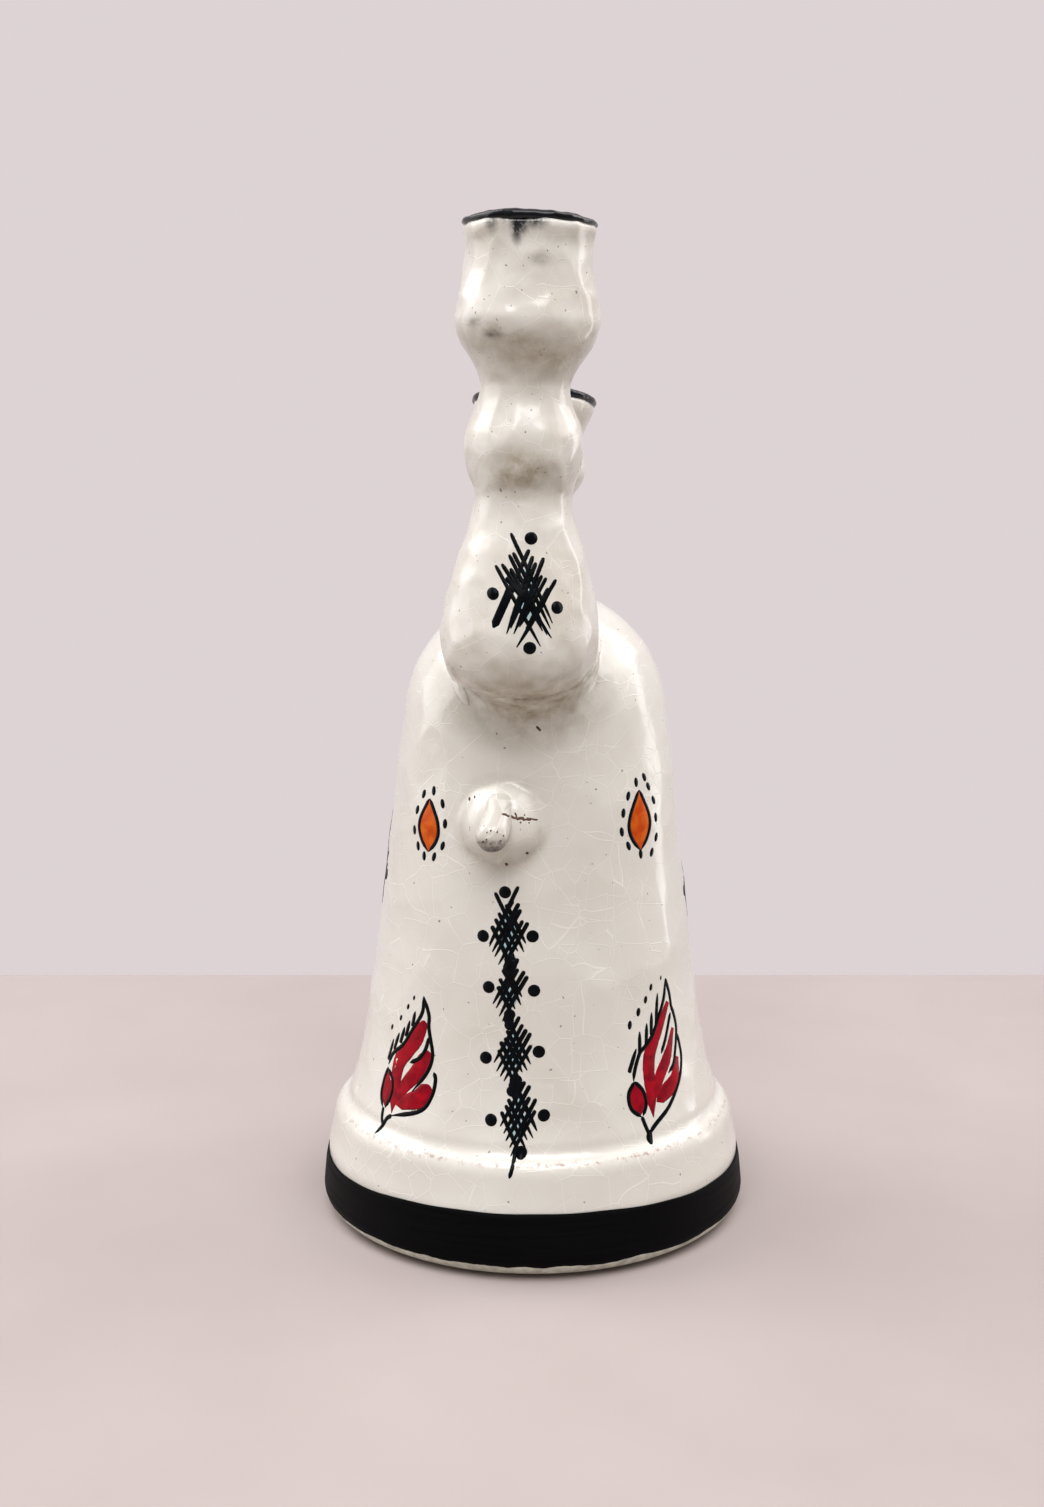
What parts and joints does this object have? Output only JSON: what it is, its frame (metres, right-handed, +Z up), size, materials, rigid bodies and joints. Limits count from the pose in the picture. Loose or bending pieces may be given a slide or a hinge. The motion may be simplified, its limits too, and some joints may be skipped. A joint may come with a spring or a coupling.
{
  "type": "double-neck vase",
  "caption": "Glazed earthenware vase: a bell on a banded foot, with a tall neck luted to the front of its dome, a shorter one to the back, and a blunt stud.",
  "frame": {"origin": "centre of the foot's underside, on the surface that the vase stands on", "axes": "+Z up along the bell's axis, -Y towards the taller front neck and the stud, +X to the right seen from the front"},
  "size_m": [0.1302, 0.1302, 0.2924],
  "materials": {
    "cream_glaze": "glossy cream tin glaze with fine crazing",
    "black_band": "satin black brushed glaze",
    "blue_black_lip": "thick glossy blue-black glaze",
    "bare_clay": "unglazed buff earthenware",
    "worn_glaze": "cream glaze rubbed thin over the clay"
  },
  "bodies": {
    "root": {"bell_body": "cream_glaze", "ledge_collar": "cream_glaze", "base_ring": "black_band", "floor_slab": "bare_clay", "front_stud": "worn_glaze", "front_neck_bulb": "cream_glaze", "front_neck_stem": "cream_glaze", "front_lip": "blue_black_lip", "front_luting_coil": "cream_glaze", "rear_neck_bulb": "cream_glaze", "rear_neck_stem": "cream_glaze", "rear_lip": "blue_black_lip", "rear_luting_coil": "cream_glaze"}
  },
  "joints": []
}
